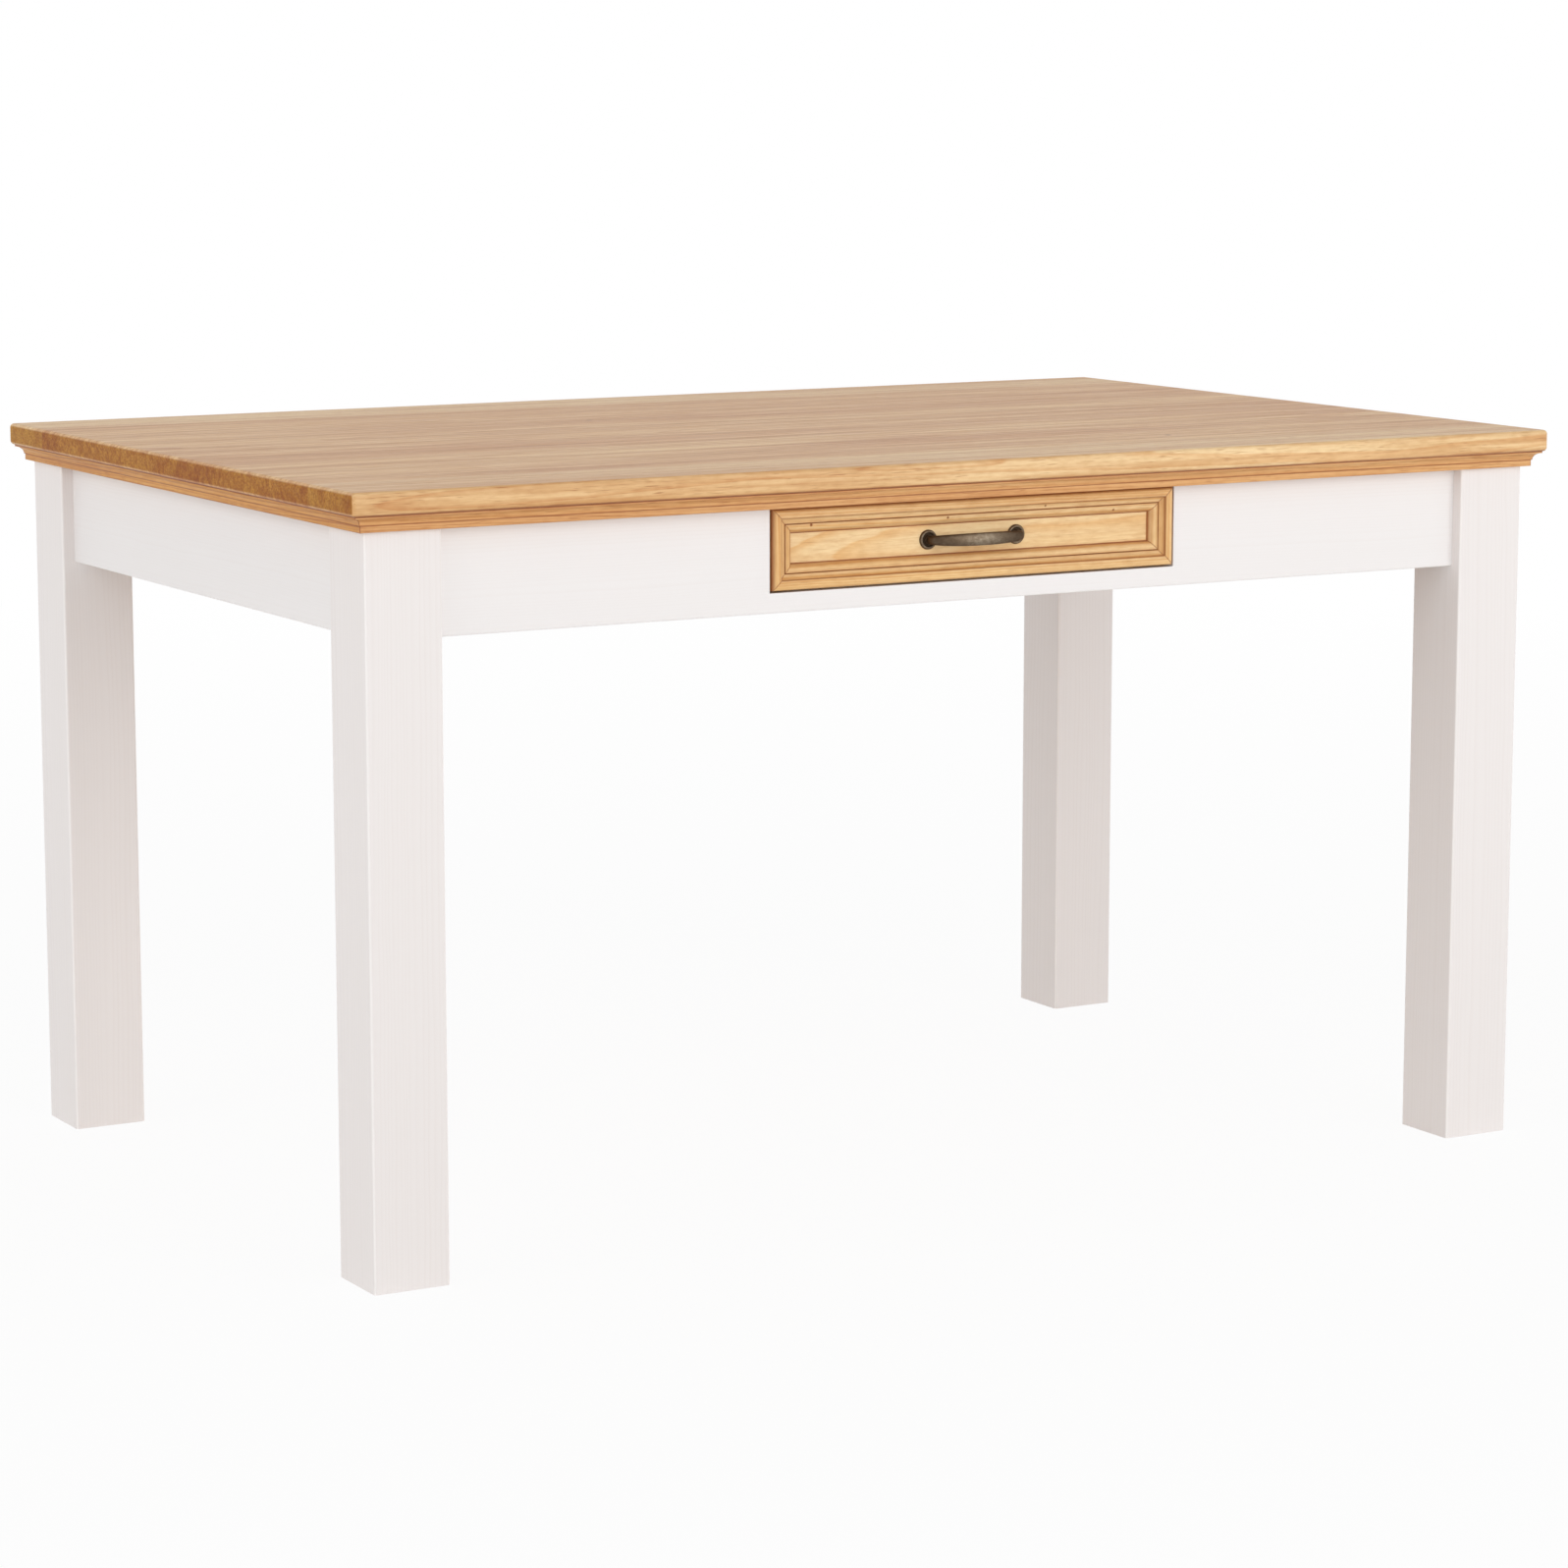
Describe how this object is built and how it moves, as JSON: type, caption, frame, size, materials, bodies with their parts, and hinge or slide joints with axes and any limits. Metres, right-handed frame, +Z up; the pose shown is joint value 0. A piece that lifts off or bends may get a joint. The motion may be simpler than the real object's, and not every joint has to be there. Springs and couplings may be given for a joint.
{
  "type": "dining table",
  "caption": "Country-style pine dining table with square white legs and aprons, a natural lacquered top over a coved moulding, and a drawer with a bow handle in the front apron.",
  "frame": {"origin": "on the floor, under the middle of the table", "axes": "+Z up, +X along the table's length, the drawer opens towards -Y"},
  "size_m": [1.4, 0.9, 0.77],
  "materials": {
    "lacquered_pine": "satin lacquer",
    "drawer_front_pine": "satin lacquer",
    "white_pine": "white glaze, matt",
    "plain_pine": "planed, unfinished",
    "plywood": "sanded",
    "beech": "turned",
    "zinc_steel": "zinc plated",
    "antique_brass": "antique brass, worn on the high places"
  },
  "bodies": {
    "table": {"apron_back": "white_pine", "apron_dowels": "beech", "apron_front": "white_pine", "apron_left": "white_pine", "apron_right": "white_pine", "batten_left": "plain_pine", "batten_right": "plain_pine", "batten_screws": "zinc_steel", "bolt_nuts": "zinc_steel", "bolt_washers": "zinc_steel", "bracket_screws": "zinc_steel", "catch_screw": "zinc_steel", "corner_block_back_left": "plain_pine", "corner_block_back_right": "plain_pine", "corner_block_front_left": "plain_pine", "corner_block_front_right": "plain_pine", "drawer_catch": "plain_pine", "guide_left": "plain_pine", "guide_right": "plain_pine", "guide_screws": "zinc_steel", "hanger_bolts": "zinc_steel", "kicker_left": "plain_pine", "kicker_right": "plain_pine", "leg_back_left": "white_pine", "leg_back_right": "white_pine", "leg_front_left": "white_pine", "leg_front_right": "white_pine", "moulding_back": "lacquered_pine", "moulding_front": "lacquered_pine", "moulding_left": "lacquered_pine", "moulding_right": "lacquered_pine", "runner_dowels": "beech", "runner_left": "plain_pine", "runner_right": "plain_pine", "stop_left": "plain_pine", "stop_right": "plain_pine", "top_board_1": "lacquered_pine", "top_board_2": "lacquered_pine", "top_board_3": "lacquered_pine", "top_board_4": "lacquered_pine", "top_board_5": "lacquered_pine", "top_board_6": "lacquered_pine", "top_board_7": "lacquered_pine", "top_board_8": "lacquered_pine", "top_board_9": "lacquered_pine", "top_brackets": "zinc_steel"},
    "drawer": {"drawer_back": "plain_pine", "drawer_bottom": "plywood", "drawer_dowels": "beech", "drawer_frame_bottom": "drawer_front_pine", "drawer_frame_left": "drawer_front_pine", "drawer_frame_right": "drawer_front_pine", "drawer_frame_top": "drawer_front_pine", "drawer_panel": "drawer_front_pine", "drawer_screws": "zinc_steel", "drawer_side_left": "plain_pine", "drawer_side_right": "plain_pine", "handle_bow": "antique_brass", "handle_rosettes": "antique_brass", "handle_screws": "zinc_steel"}
  },
  "joints": [
    {"name": "drawer_slide", "type": "slide", "parent": "table", "child": "drawer", "axis": [0, -1, 0], "range_m": [0, 0.3]}
  ]
}
